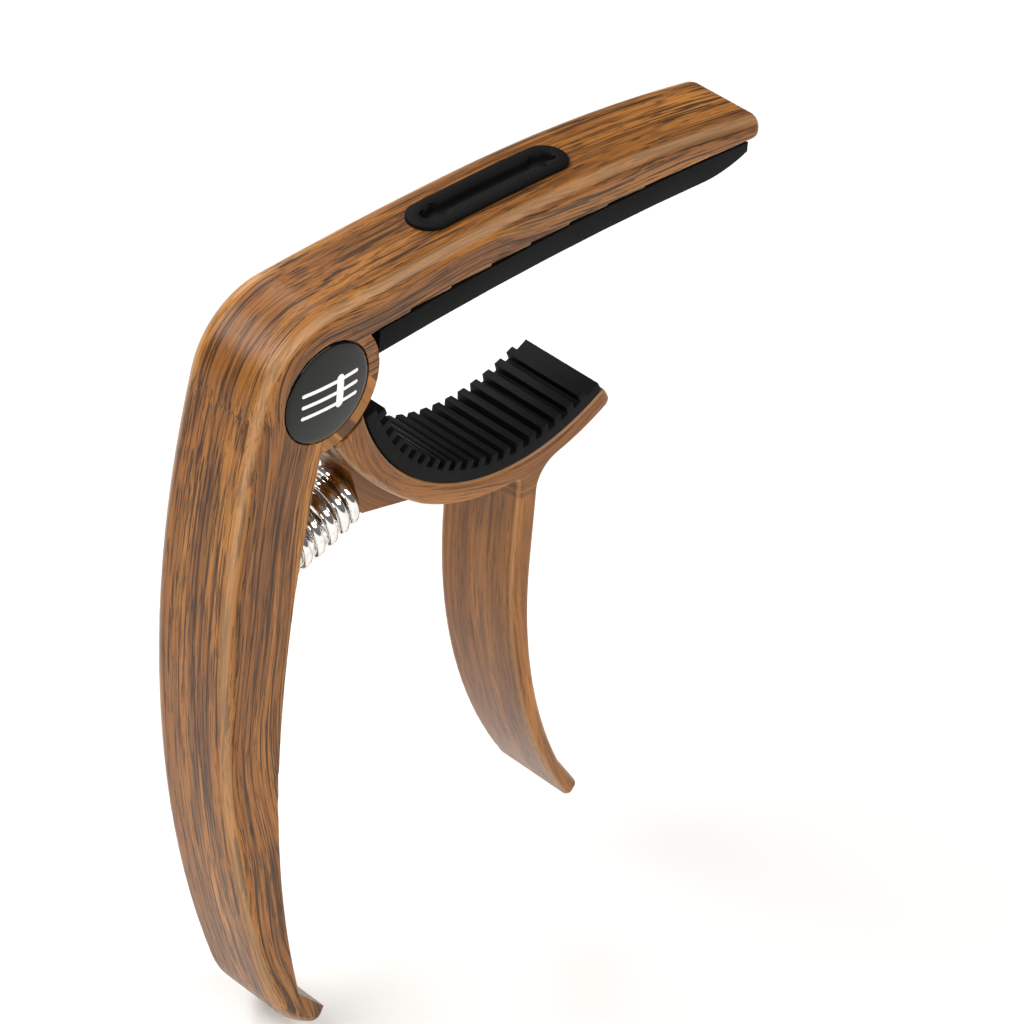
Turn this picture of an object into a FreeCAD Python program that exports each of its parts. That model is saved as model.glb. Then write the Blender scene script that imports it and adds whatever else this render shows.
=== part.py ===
"""Spring clamp guitar capo: two castings, two silicone pads, a pick holder, a badge and a sprung hinge.

Frame: millimetres, +Z up out of the fingerboard, +X across the neck from the hinge side to the bar's
tip, +Y along the neck towards the nut. The origin is the middle of the string pad's gripping face.
The capo is drawn clamped: its jaws stand one neck apart.
"""
import FreeCAD, Part
import math
import os
import re
import Sketcher
from FreeCAD import Placement, Rotation, Vector

DRIVING_SIZES = {
    # upper casting: clamp bar, as seen from the side
    "body_width": 11.5,            # both castings along the neck
    "bar_tip_x": 30.6,
    "bar_tip_top_z": 4.3,
    "bar_top_x": -8.0,             # where the arched top face is highest
    "bar_top_z": 7.9,
    "bar_heel_x": -36.0,           # where the top face turns down into the handle
    "bar_heel_z": 7.05,
    "heel_radius": 10.2,
    "shoulder_x": -45.5,           # where that bend ends
    "shoulder_z": -1.0,
    "tip_low_round": 0.7,
    "tip_top_round": 1.6,
    "long_round": 1.8,             # soft rounding along the outer faces
    "short_round": 0.3,            # rounding along the inner faces
    # upper casting: front handle
    "handle_outer_x": -48.9,       # outermost point of the handle
    "handle_outer_z": -31.0,
    "handle_end_x": -39.2,         # where the outer face turns into the toe
    "handle_end_z": -85.0,
    "toe_turn_radius": 15.9,
    "toe_low_x": -31.8,
    "toe_low_z": -93.4,
    "toe_tip_x": -30.7,
    "toe_tip_z": -91.0,
    "toe_corner_x": -35.0,         # inner corner between toe and handle
    "toe_corner_z": -86.4,
    "handle_inner_x": -40.2,       # hollow of the handle's inner face
    "handle_inner_z": -47.0,
    "handle_root_x": -36.4,        # where the inner face meets the hinge boss
    # hinge
    "pivot_x": -36.3,
    "pivot_z": -2.4,
    "boss_radius": 7.5,
    "slot_width": 5.7,             # clevis slot in the upper casting
    "slot_radius": 8.0,
    "slot_drop": 12.2,             # how far below the pivot the slot runs into the handle for the web
    "slot_drop_x": 0.6,
    "knuckle_width": 5.0,          # middle web of the lower casting
    "knuckle_radius": 7.3,
    "jaw_gap_radius": 8.0,         # the jaw's full width stays outside this circle
    "pin_radius": 1.5,
    "pin_head_radius": 2.6,
    "pin_head_height": 0.9,
    "pin_groove_radius": 1.1,
    "pin_end_gap": 0.8,            # from the end of the pin to the side of the casting
    "press_gap": 0.02,             # left between pressed parts
    "bush_radius": 2.3,
    "running_gap": 0.05,           # radial clearance of the running fits
    "washer_radius": 4.4,
    "washer_thick": 0.3,
    "clip_radius": 2.5,
    "clip_mouth": 1.7,
    "clip_thick": 0.5,
    "rear_recess_radius": 3.6,     # counterbore that takes the clip and its cap
    "rear_recess_depth": 1.6,
    "cap_thick": 0.6,
    "head_recess_radius": 2.75,
    "badge_recess_radius": 6.0,
    "badge_recess_depth": 0.6,
    # lower casting
    "cradle_x": -5.8,              # centre of the jaw pad's seat
    "cradle_z": 0.0,
    "cradle_radius": 25.8,
    "cradle_wall": 2.7,
    "cradle_start": 190.0,         # degrees from +X
    "cradle_end": 302.0,
    "jaw_heel_x": -34.2,           # outer edge of the cradle beside the hinge
    "jaw_heel_z": -10.6,
    "jaw_heel_radius": 51.0,
    "jaw_belly_x": -20.4,          # where that edge joins the cradle's round back
    "web_top_x": -32.3,            # middle web: its edge from the hinge to the spring
    "web_top_z": -13.7,
    "seat_x": -27.3,               # middle of the spring seat on the web
    "seat_z": -22.05,
    "seat_above": 4.2,             # length of the seat's flat above and below its middle
    "seat_below": 2.35,
    "web_end": 254.0,              # degrees from +X, where the web runs out into the cradle
    # rear handle
    "rear_root_x": -5.1,           # inner face, just under the cradle
    "rear_root_z": -38.0,
    "rear_low_x": 9.0,
    "rear_low_z": -82.0,
    "rear_tip_x": 10.4,
    "rear_tip_z": -80.3,
    "rear_corner_x": 6.6,
    "rear_corner_z": -74.9,
    "rear_back_x": -1.8,           # outer face, just under the cradle
    "rear_back_z": -41.0,
    "rear_root_round": 3.5,
    # silicone parts
    "pad_start_x": -28.8,
    "pad_end_x": 28.2,
    "pad_thick": 2.9,
    "pad_width": 11.1,
    "pad_end_drop": 1.3,           # height left at the pad's rounded ends
    "pad_end_curve": 6.5,          # length of those roundings
    "board_radius": 406.0,         # fingerboard radius that the string pad follows
    "key_width": 3.0,              # keys that hold the pads in their castings
    "key_top_z": 4.0,
    "jaw_key_height": 1.2,
    "key_length": 7.0,
    "key_far_x": 17.0,
    "key_near_x": -23.0,
    "fit_gap": 0.05,
    "jaw_pad_thick": 1.6,
    "jaw_pad_start": 199.5,
    "jaw_pad_end": 301.0,
    "jaw_key_start": 215.0,
    "jaw_key_end": 285.0,
    "rib_height": 1.1,
    "rib_width": 1.15,
    "rib_pitch": 4.85,             # degrees about the cradle's centre
    "holder_x": -7.9,
    "holder_length": 22.7,
    "holder_width": 5.0,
    "holder_rim": 0.55,            # how far the rim stands out of the bar
    "window_margin": 1.1,          # rim overhang beyond the bar's window
    "slit_length": 19.4,
    "slit_width": 1.3,
    "slit_floor_z": 3.6,
    # spring
    "spring_wire": 1.3,
    "spring_mean_radius": 3.05,
    "spring_turns": 7.0,
    "spring_length": 13.6,
    "spring_tilt": 18.0,           # degrees above +X, from the front handle to the web
    "pocket_radius": 4.2,
    "pocket_depth": 1.6,
    "peg_radius": 2.3,
    "peg_height": 2.4,
    # badge
    "badge_radius": 5.8,
    "badge_disc_thick": 0.3,
    "badge_dome_height": 0.9,
    "badge_dome_rim": 0.4,         # thickness left at the dome's rim
    "mark_length": 7.6,
    "mark_height": 2.7,
    "mark_stroke": 0.55,
    "mark_thick": 0.1,
}
MARK_STRINGS = 6                   # upright strokes of the badge's mark

DOC = FreeCAD.newDocument("guitar_capo")
SHEET = DOC.addObject("Spreadsheet::Sheet", "Sizes")
for row, (alias, number) in enumerate(DRIVING_SIZES.items(), start=1):
    SHEET.set(f"A{row}", alias)
    SHEET.set(f"B{row}", str(number))
    SHEET.setAlias(f"B{row}", alias)
DOC.recompute()

NODES = {}                         # node name -> document object


def value(formula):
    """Number of a formula that is written in the sheet's aliases."""
    return float(SHEET.evalExpression(str(formula)))


def bound(formula):
    """The same formula as another object must write it, with the sheet's name before each alias."""
    def with_sheet(match):
        word = match.group(0)
        return f"Sizes.{word}" if word in DRIVING_SIZES else word

    return re.sub(r"[a-z][a-z_]*", with_sheet, str(formula))


def plane_of(body, role):
    """Origin plane of a body, such as XZ_Plane."""
    return next(item for item in body.Origin.OriginFeatures if item.Role == role)


def new_body(label):
    """Empty body with its label, kept as one of the capo's nodes."""
    body = DOC.addObject("PartDesign::Body", label)
    body.Label = label
    NODES[label] = body
    DOC.recompute()
    return body


def new_sketch(body, name, plane="XZ_Plane", offset=None):
    """Sketch on one of the body's origin planes, moved off it by a formula if one is given."""
    sketch = body.newObject("Sketcher::SketchObject", name)
    sketch.AttachmentSupport = (plane_of(body, plane), [""])
    sketch.MapMode = "FlatFace"
    if offset is not None:
        sketch.setExpression("AttachmentOffset.Base.z", bound(offset))
    DOC.recompute()
    return sketch


def hold(sketch, kind, first, formula, *rest):
    """Adds a dimension to a sketch and binds it to a formula."""
    index = sketch.addConstraint(Sketcher.Constraint(kind, first, *rest, value(formula)))
    sketch.setExpression(f"Constraints[{index}]", bound(formula))


def arc_between(start, end, radius, left):
    """Arc of a radius from start to end; its centre lies left or right of that direction."""
    chord = end - start
    side = Vector(-chord.y, chord.x, 0).normalize() * (1 if left else -1)
    height = math.sqrt(max(radius ** 2 - (chord.Length / 2) ** 2, 0.0))
    centre = (start + end) * 0.5 + side * height
    first, last = (start, end) if left else (end, start)
    angles = [math.atan2(point.y - centre.y, point.x - centre.x) for point in (first, last)]
    return Part.ArcOfCircle(Part.Circle(centre, Vector(0, 0, 1), radius), *angles)


def outline(sketch, corners):
    """Closed outline through corners of (x, z, radius, side).

    The radius and side, "left" or "right" of the way round, make the stretch to the next corner an arc.
    """
    points = [Vector(value(corner[0]), value(corner[1]), 0) for corner in corners]
    count = len(corners)
    first_end, last_end = [], []
    for index, corner in enumerate(corners):
        start, end = points[index], points[(index + 1) % count]
        if len(corner) == 2:
            sketch.addGeometry(Part.LineSegment(start, end), False)
            first_end.append(1)
            last_end.append(2)
        else:
            left = corner[3] == "left"
            sketch.addGeometry(arc_between(start, end, value(corner[2]), left), False)
            first_end.append(1 if left else 2)
            last_end.append(2 if left else 1)
    for index in range(count):
        after = (index + 1) % count
        joined = Sketcher.Constraint("Coincident", index, last_end[index], after, first_end[after])
        sketch.addConstraint(joined)
    for index, corner in enumerate(corners):
        hold(sketch, "DistanceX", index, corner[0], first_end[index])
        hold(sketch, "DistanceY", index, corner[1], first_end[index])
        if len(corner) > 2:
            hold(sketch, "Radius", index, corner[2])
    return sketch


def circle(sketch, x, z, radius):
    """Circle with a bound centre and radius."""
    ring = Part.Circle(Vector(value(x), value(z), 0), Vector(0, 0, 1), value(radius))
    index = sketch.addGeometry(ring, False)
    hold(sketch, "DistanceX", index, x, 3)
    hold(sketch, "DistanceY", index, z, 3)
    hold(sketch, "Radius", index, radius)
    return sketch


def rounded_bar(sketch, x, z, length, width):
    """Straight outline with two half-round ends, centred on x, z and lying along the sketch's X."""
    half, radius = f"(({length}) - ({width})) / 2", f"({width}) / 2"
    corners = [
        (f"{x} - {half}", f"{z} - {radius}"),
        (f"{x} + {half}", f"{z} - {radius}", radius, "left"),
        (f"{x} + {half} + {radius}", z, radius, "left"),
        (f"{x} + {half}", f"{z} + {radius}"),
        (f"{x} - {half}", f"{z} + {radius}", radius, "left"),
        (f"{x} - {half} - {radius}", z, radius, "left"),
    ]
    return outline(sketch, corners)


def recomputed(feature):
    """The feature after a recompute, which must not fail."""
    DOC.recompute()
    if feature.State != ["Up-to-date"] or feature.Shape.isNull():
        raise RuntimeError(f"{feature.Name}: {feature.getStatusString()}")
    return feature


def pad_through(body, name, sketch, width):
    """Pad to both sides of the sketch's plane."""
    pad = body.newObject("PartDesign::Pad", name)
    pad.Profile = sketch
    pad.Midplane = True
    pad.setExpression("Length", bound(width))
    return recomputed(pad)


def cut(body, name, sketch, depth, both_ways=False, reverse=False):
    """Pocket that must take material away."""
    before = body.Shape.Volume
    pocket = body.newObject("PartDesign::Pocket", name)
    pocket.Profile = sketch
    pocket.Midplane = both_ways
    pocket.Reversed = reverse
    pocket.setExpression("Length", bound(depth))
    if recomputed(pocket).Shape.Volume > before - 1e-3:
        raise RuntimeError(f"{name} cuts nothing")
    return pocket


def cross_edges(shape, places, reach=0.6):
    """Names of the edges along Y that pass by the given (x, z) places."""
    names = []
    for number, edge in enumerate(shape.Edges, start=1):
        ends = [vertex.Point for vertex in edge.Vertexes]
        if len(ends) != 2 or abs(ends[0].x - ends[1].x) + abs(ends[0].z - ends[1].z) > 1e-4:
            continue
        if any(math.hypot(ends[0].x - x, ends[0].z - z) < reach for x, z in places):
            names.append(f"Edge{number}")
    return names


def side_edges(shape, half_width, wanted):
    """Names of the outline's edges on the two side faces whose middle passes the wanted test."""
    names = []
    for number, edge in enumerate(shape.Edges, start=1):
        low, high = edge.ParameterRange
        middle = edge.valueAt((low + high) / 2)
        flat = abs(abs(edge.valueAt(low).y) - half_width) < 1e-4 and abs(abs(middle.y) - half_width) < 1e-4
        if flat and abs(edge.valueAt(high).y - middle.y) < 1e-4 and wanted(middle):
            names.append(f"Edge{number}")
    return names


def fillet(body, name, edges, radius):
    """Fillet of the named edges of the body's tip."""
    if not edges:
        raise RuntimeError(f"{name} has no edges")
    base = body.Tip
    rounding = body.newObject("PartDesign::Fillet", name)
    rounding.Base = (base, edges)
    rounding.setExpression("Radius", bound(radius))
    return recomputed(rounding)


def bow_radius(span_x, rise):
    """Radius formula of an arc that rises by `rise` over `span_x`, level at one end."""
    return f"(({span_x}) ^ 2 + ({rise}) ^ 2) / (2 * ({rise}))"


def turned_sketch(body, name, x, z, turn):
    """Sketch through (x, z), its normal turned by `turn` degrees from +Z towards +X."""
    sketch = body.newObject("Sketcher::SketchObject", name)
    sketch.AttachmentSupport = (plane_of(body, "XY_Plane"), [""])
    sketch.MapMode = "FlatFace"
    turned = Rotation(Vector(0, 1, 0), value(turn))
    sketch.AttachmentOffset = Placement(Vector(value(x), 0, value(z)), turned)
    sketch.setExpression("AttachmentOffset.Base.x", bound(x))
    sketch.setExpression("AttachmentOffset.Base.z", bound(z))
    sketch.setExpression("AttachmentOffset.Rotation.Angle", bound(turn))
    DOC.recompute()
    return sketch


def pad_one_way(body, name, sketch, length, reverse=False):
    """Pad along the sketch's normal, or against it."""
    pad = body.newObject("PartDesign::Pad", name)
    pad.Profile = sketch
    pad.Reversed = reverse
    pad.setExpression("Length", bound(length))
    return recomputed(pad)


def revolve(body, name, sketch):
    """Full turn about the sketch's own vertical axis."""
    turned = body.newObject("PartDesign::Revolution", name)
    turned.Profile = sketch
    turned.ReferenceAxis = (sketch, ["V_Axis"])
    turned.Angle = 360
    return recomputed(turned)


def underside(x):
    """Height of the clamp bar's underside at x, where it lies on the string pad."""
    return f"pad_thick - ({x}) ^ 2 / (2 * (board_radius + pad_thick))"


def on_cradle(radius, angle):
    """Point at a radius and angle about the cradle's centre."""
    return f"cradle_x + ({radius}) * cos({angle})", f"cradle_z + ({radius}) * sin({angle})"


def along_spring(distance):
    """Point on the spring's axis, a distance from the web's seat towards the front handle."""
    return f"seat_x - ({distance}) * cos(spring_tilt)", f"seat_z - ({distance}) * sin(spring_tilt)"


OUTER_CRADLE = "cradle_radius + cradle_wall"
ARCH_TO_TIP = bow_radius("bar_tip_x - bar_top_x", "bar_top_z - bar_tip_top_z")
ARCH_TO_HEEL = bow_radius("bar_top_x - bar_heel_x", "bar_top_z - bar_heel_z")


def make_upper_arm():
    """Clamp bar, hinge boss and front handle in one casting."""
    body = new_body("upper_arm")
    sketch = new_sketch(body, "arm_outline")
    boss_low_z = "pivot_z - sqrt(boss_radius ^ 2 - (handle_root_x - pivot_x) ^ 2)"
    boss_top_z = underside("pivot_x + boss_radius - 1.2")
    boss_right_x = f"pivot_x + sqrt(boss_radius ^ 2 - (({boss_top_z}) - pivot_z) ^ 2)"
    tip_low_z = underside("bar_tip_x")
    outline(sketch, [
        ("bar_tip_x", tip_low_z),
        ("bar_tip_x", "bar_tip_top_z", ARCH_TO_TIP, "left"),
        ("bar_top_x", "bar_top_z", ARCH_TO_HEEL, "left"),
        ("bar_heel_x", "bar_heel_z", "heel_radius", "left"),
        ("shoulder_x", "shoulder_z",
         bow_radius("shoulder_z - handle_outer_z", "shoulder_x - handle_outer_x"), "left"),
        ("handle_outer_x", "handle_outer_z",
         bow_radius("handle_outer_z - handle_end_z", "handle_end_x - handle_outer_x"), "left"),
        ("handle_end_x", "handle_end_z", "toe_turn_radius", "left"),
        ("toe_low_x", "toe_low_z"),
        ("toe_tip_x", "toe_tip_z"),
        ("toe_corner_x", "toe_corner_z",
         bow_radius("handle_inner_z - toe_corner_z", "toe_corner_x - handle_inner_x"), "right"),
        ("handle_inner_x", "handle_inner_z",
         bow_radius(f"({boss_low_z}) - handle_inner_z", "handle_root_x - handle_inner_x"), "right"),
        ("handle_root_x", boss_low_z, "boss_radius", "left"),
        (boss_right_x, boss_top_z, "board_radius + pad_thick", "right"),
    ])
    pad_through(body, "arm_pad", sketch, "body_width")
    half = value("body_width") / 2

    def round_corners(name, radius, corners):
        spots = [(value(x), value(z)) for x, z in corners]
        fillet(body, name, cross_edges(body.Shape, spots), radius)

    def along_top(point):
        return point.z > value("pad_thick") + 1.5

    def on_grip_side(point):
        return value("toe_corner_z") < point.z < value("pivot_z - boss_radius")

    round_corners("tip_top", "tip_top_round", [("bar_tip_x", "bar_tip_top_z")])
    fillet(body, "outer_edges", side_edges(body.Shape, half, along_top), "long_round")
    fillet(body, "inner_edges", side_edges(body.Shape, half, on_grip_side), "short_round")
    round_corners("tip_low", "tip_low_round", [("bar_tip_x", tip_low_z)])
    round_corners("toe_low", "tip_low_round", [("toe_low_x", "toe_low_z")])
    return body


def finish_upper_arm(body):
    """Slot, bores, recesses, window and grooves of the upper casting."""
    slot = outline(new_sketch(body, "slot_outline"), [
        ("pivot_x + slot_drop_x", "pivot_z - slot_drop"),
        ("pivot_x + 2 * slot_radius", "pivot_z - slot_drop"),
        ("pivot_x + 2 * slot_radius", "pivot_z + slot_radius * 0.5"),
        ("pivot_x + slot_radius * cos(30)", "pivot_z + slot_radius * 0.5", "slot_radius", "left"),
        ("pivot_x - slot_radius * cos(30)", "pivot_z + slot_radius * 0.5", "slot_radius", "left"),
        ("pivot_x - slot_radius * cos(42)", "pivot_z - slot_radius * sin(42)"),
    ])
    cut(body, "slot", slot, "slot_width", both_ways=True)
    side = "body_width / 2"
    bores = [
        ("pin_bore", "pin_radius + press_gap", "body_width"),
        ("badge_seat", "badge_recess_radius", "badge_recess_depth"),
        ("head_seat", "head_recess_radius", "badge_recess_depth + pin_head_height + running_gap"),
    ]
    for name, radius, depth in bores:
        sketch = circle(new_sketch(body, name + "_circle", offset=side), "pivot_x", "pivot_z", radius)
        cut(body, name, sketch, depth)
    rear = new_sketch(body, "clip_seat_circle", offset="-body_width / 2")
    circle(rear, "pivot_x", "pivot_z", "rear_recess_radius")
    cut(body, "clip_seat", rear, "rear_recess_depth", reverse=True)
    window = new_sketch(body, "window_outline", "XY_Plane", "bar_top_z + 1")
    rounded_bar(window, "holder_x", "0", "holder_length - 2 * window_margin",
                "holder_width - 2 * window_margin")
    cut(body, "window", window, "bar_top_z")
    for name, middle in (("far_groove", "key_far_x"), ("near_groove", "key_near_x")):
        groove = new_sketch(body, name + "_outline", "XY_Plane", "key_top_z + fit_gap")
        half_length, half_width = "(key_length / 2 + fit_gap)", "(key_width / 2 + fit_gap)"
        outline(groove, [
            (f"{middle} - {half_length}", f"-{half_width}"), (f"{middle} + {half_length}", f"-{half_width}"),
            (f"{middle} + {half_length}", half_width), (f"{middle} - {half_length}", half_width),
        ])
        cut(body, name, groove, "key_top_z")
    floor_x, floor_z = along_spring("spring_length")
    pocket = turned_sketch(body, "spring_pocket_circle", floor_x, floor_z, "90 - spring_tilt")
    cut(body, "spring_pocket", circle(pocket, "0", "0", "pocket_radius"), "pocket_depth * 2.5", reverse=True)


def make_lower_jaw():
    """Cradle and rear handle, the middle web with its spring seat, and the hinge knuckle."""
    body = new_body("lower_jaw")
    sketch = new_sketch(body, "jaw_outline")
    seat_end = on_cradle("cradle_radius", "cradle_end")
    seat_start = on_cradle("cradle_radius", "cradle_start")
    back_end = on_cradle(OUTER_CRADLE, "cradle_end")

    def under_cradle(x):
        return f"cradle_z - sqrt(({OUTER_CRADLE}) ^ 2 - (({x}) - cradle_x) ^ 2)"

    outline(sketch, [
        (*seat_end, "cradle_radius", "right"),
        seat_start,
        ("jaw_heel_x", "jaw_heel_z", "jaw_heel_radius", "left"),
        ("jaw_belly_x", under_cradle("jaw_belly_x"), OUTER_CRADLE, "left"),
        ("rear_root_x", under_cradle("rear_root_x")),
        ("rear_root_x", "rear_root_z",
         bow_radius("rear_root_z - rear_low_z", "rear_low_x - rear_root_x"), "left"),
        ("rear_low_x", "rear_low_z"),
        ("rear_tip_x", "rear_tip_z"),
        ("rear_corner_x", "rear_corner_z",
         bow_radius("rear_back_z - rear_corner_z", "rear_corner_x - rear_back_x"), "right"),
        ("rear_back_x", "rear_back_z"),
        ("rear_back_x", under_cradle("rear_back_x"), OUTER_CRADLE, "left"),
        back_end,
    ])
    pad_through(body, "cradle_and_handle", sketch, "body_width")
    corner_rounds = [
        ("cradle_tip", "tip_low_round * 1.4", [seat_end, back_end]),
        ("toe_tip", "tip_low_round", [("rear_low_x", "rear_low_z"), ("rear_tip_x", "rear_tip_z")]),
        ("toe_inside", "tip_top_round", [("rear_corner_x", "rear_corner_z")]),
        ("root_back", "rear_root_round", [("rear_back_x", under_cradle("rear_back_x"))]),
        ("root_front", "tip_low_round", [("rear_root_x", under_cradle("rear_root_x"))]),
    ]
    for name, radius, corners in corner_rounds:
        spots = [(value(x), value(z)) for x, z in corners]
        fillet(body, name, cross_edges(body.Shape, spots), radius)
    gap = circle(new_sketch(body, "gap_circle"), "pivot_x", "pivot_z", "jaw_gap_radius")
    cut(body, "hinge_gap", gap, "body_width", both_ways=True)
    half = value("body_width") / 2
    centre = Vector(value("cradle_x"), 0, value("cradle_z"))

    def off_the_seat(point):
        flat = Vector(point.x, 0, point.z)
        from_hinge = math.hypot(point.x - value("pivot_x"), point.z - value("pivot_z"))
        outside = (flat - centre).Length > value("cradle_radius") + 0.3
        return outside and from_hinge > value("jaw_gap_radius") + 0.1

    fillet(body, "jaw_edges", side_edges(body.Shape, half, off_the_seat), "short_round * 2.6")
    add_web(body)
    return body


def add_web(body):
    """Middle web, knuckle, spring peg and bore of the lower casting."""
    ring_mid = "cradle_radius + cradle_wall / 2"
    web = outline(new_sketch(body, "web_outline"), [
        ("pivot_x", "pivot_z"),
        ("pivot_x - knuckle_radius * cos(70)", "pivot_z - knuckle_radius * sin(70)"),
        ("web_top_x", "web_top_z"),
        ("seat_x - seat_above * sin(spring_tilt)", "seat_z + seat_above * cos(spring_tilt)"),
        ("seat_x + seat_below * sin(spring_tilt)", "seat_z - seat_below * cos(spring_tilt)"),
        on_cradle("cradle_radius + cradle_wall - fit_gap", "web_end"),
        (*on_cradle(ring_mid, "web_end"), ring_mid, "right"),
        on_cradle(ring_mid, "cradle_start + 9"),
    ])
    pad_through(body, "web", web, "knuckle_width")
    knuckle = circle(new_sketch(body, "knuckle_circle"), "pivot_x", "pivot_z", "knuckle_radius")
    pad_through(body, "knuckle", knuckle, "knuckle_width")
    peg = turned_sketch(body, "peg_circle", "seat_x", "seat_z", "-(90 + spring_tilt)")
    pad_one_way(body, "spring_peg", circle(peg, "0", "0", "peg_radius"), "peg_height")
    bore = circle(new_sketch(body, "bush_circle"), "pivot_x", "pivot_z", "bush_radius + press_gap")
    cut(body, "bush_bore", bore, "body_width", both_ways=True)
    groove = annular(new_sketch(body, "key_groove_outline"), "cradle_radius - 1",
                     "cradle_radius + jaw_key_height + fit_gap", "jaw_key_start - 0.2", "jaw_key_end + 0.2")
    cut(body, "key_groove", groove, "key_width + 2 * fit_gap", both_ways=True)


def annular(sketch, inner, outer, start, end):
    """Arc-shaped strip about the cradle's centre, from one angle to another."""
    return outline(sketch, [
        (*on_cradle(outer, start), outer, "left"),
        on_cradle(outer, end),
        (*on_cradle(inner, end), inner, "right"),
        on_cradle(inner, start),
    ])


def make_jaw_pad():
    """Ribbed silicone pad: a curved sheet with cross ribs on its grip side and a key on its back."""
    body = new_body("jaw_pad")
    back = "cradle_radius - fit_gap"
    face = "cradle_radius - jaw_pad_thick"
    sheet = annular(new_sketch(body, "sheet_outline"), face, back, "jaw_pad_start", "jaw_pad_end")
    pad_through(body, "sheet", sheet, "pad_width")
    key = annular(new_sketch(body, "key_outline"), "cradle_radius - jaw_pad_thick / 2",
                  "cradle_radius + jaw_key_height", "jaw_key_start", "jaw_key_end")
    pad_through(body, "key", key, "key_width")
    span = value("jaw_pad_end") - value("jaw_pad_start")
    count = int(span / value("rib_pitch"))
    for number in range(count):
        middle = f"jaw_pad_start + rib_pitch * {number + 0.7}"
        half_turn = "rib_width / cradle_radius * 90 / 3.14159"
        rib = annular(new_sketch(body, f"rib_outline_{number}"),
                      "cradle_radius - jaw_pad_thick - rib_height", "cradle_radius - jaw_pad_thick / 2",
                      f"{middle} - {half_turn}", f"{middle} + {half_turn}")
        pad_through(body, f"rib_{number}", rib, "pad_width")
    return body


def make_string_pad():
    """Plain silicone strip under the bar, hollowed to the fingerboard's curve, with two keys."""
    body = new_body("string_pad")
    end_low_x = "pad_end_x - pad_end_curve"
    end_top = underside("pad_end_x")
    start_low_z, end_low_z = (f"0 - ({x}) ^ 2 / (2 * board_radius)" for x in ("pad_start_x", end_low_x))
    end_rise = f"(({end_top}) - pad_end_drop - ({end_low_z}))"
    outline(new_sketch(body, "strip_outline"), [
        ("pad_start_x", start_low_z, "board_radius", "right"),
        (end_low_x, end_low_z, bow_radius("pad_end_curve", end_rise), "left"),
        ("pad_end_x", f"{end_top} - pad_end_drop"),
        ("pad_end_x", f"{end_top} - fit_gap", "board_radius + pad_thick", "left"),
        ("pad_start_x", f"{underside('pad_start_x')} - fit_gap"),
    ])
    pad_through(body, "strip", DOC.getObject("strip_outline"), "pad_width")
    for name, middle in (("far_key", "key_far_x"), ("near_key", "key_near_x")):
        key = new_sketch(body, name + "_outline", "XY_Plane", "key_top_z")
        outline(key, [
            (f"{middle} - key_length / 2", "-key_width / 2"),
            (f"{middle} + key_length / 2", "-key_width / 2"),
            (f"{middle} + key_length / 2", "key_width / 2"),
            (f"{middle} - key_length / 2", "key_width / 2"),
        ])
        pad_one_way(body, name, key, "key_top_z - pad_thick / 2", reverse=True)
    return body


def make_pick_holder():
    """Silicone grommet in the bar's window: a flat rim on the arched top, a plug and a slit."""
    body = new_body("pick_holder")
    left, right = "(holder_x - holder_length / 2)", "(holder_x + holder_length / 2)"

    def arch(x, radius):
        return f"bar_top_z - ({x} - bar_top_x) ^ 2 / (2 * ({radius}))"

    left_z, right_z = arch(left, ARCH_TO_HEEL), arch(right, ARCH_TO_TIP)
    outline(new_sketch(body, "rim_outline"), [
        (left, left_z, ARCH_TO_HEEL, "right"),
        ("bar_top_x", "bar_top_z", ARCH_TO_TIP, "right"),
        (right, right_z),
        (right, f"{right_z} + holder_rim", ARCH_TO_TIP, "left"),
        ("bar_top_x", "bar_top_z + holder_rim", ARCH_TO_HEEL, "left"),
        (left, f"{left_z} + holder_rim"),
    ])
    pad_through(body, "rim", DOC.getObject("rim_outline"), "holder_width")
    upright = []
    for number, edge in enumerate(body.Shape.Edges, start=1):
        first, last = edge.Vertexes[0], edge.Vertexes[-1]
        if math.hypot(first.X - last.X, first.Y - last.Y) < 1e-4:
            upright.append(f"Edge{number}")
    fillet(body, "rim_ends", upright, "holder_width / 2 - fit_gap")
    plug = new_sketch(body, "plug_outline", "XY_Plane", "bar_top_z + holder_rim / 4")
    rounded_bar(plug, "holder_x", "0", "holder_length - 2 * window_margin - 2 * fit_gap",
                "holder_width - 2 * window_margin - 2 * fit_gap")
    pad_one_way(body, "plug", plug, "bar_top_z + holder_rim / 4 - slit_floor_z + 0.4", reverse=True)
    slit = new_sketch(body, "slit_outline", "XY_Plane", "bar_top_z + 2")
    rounded_bar(slit, "holder_x", "0", "slit_length", "slit_width")
    cut(body, "slit", slit, "bar_top_z + 2 - slit_floor_z")
    return body


BADGE_FLOOR = "(body_width / 2 - badge_recess_depth)"
HEAD_SEAT = f"({BADGE_FLOOR} - pin_head_height - running_gap)"
CLIP_SEAT = "(body_width / 2 - rear_recess_depth)"


def disc(label, radius, start, thick, bore=None):
    """Round plate about the hinge's axis: from `start` towards -Y, `thick` deep, with an optional bore."""
    body = new_body(label)
    sketch = circle(new_sketch(body, label + "_circle", offset=start), "pivot_x", "pivot_z", radius)
    if bore is not None:
        circle(sketch, "pivot_x", "pivot_z", bore)
    pad_one_way(body, label + "_plate", sketch, thick)
    return body


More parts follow.
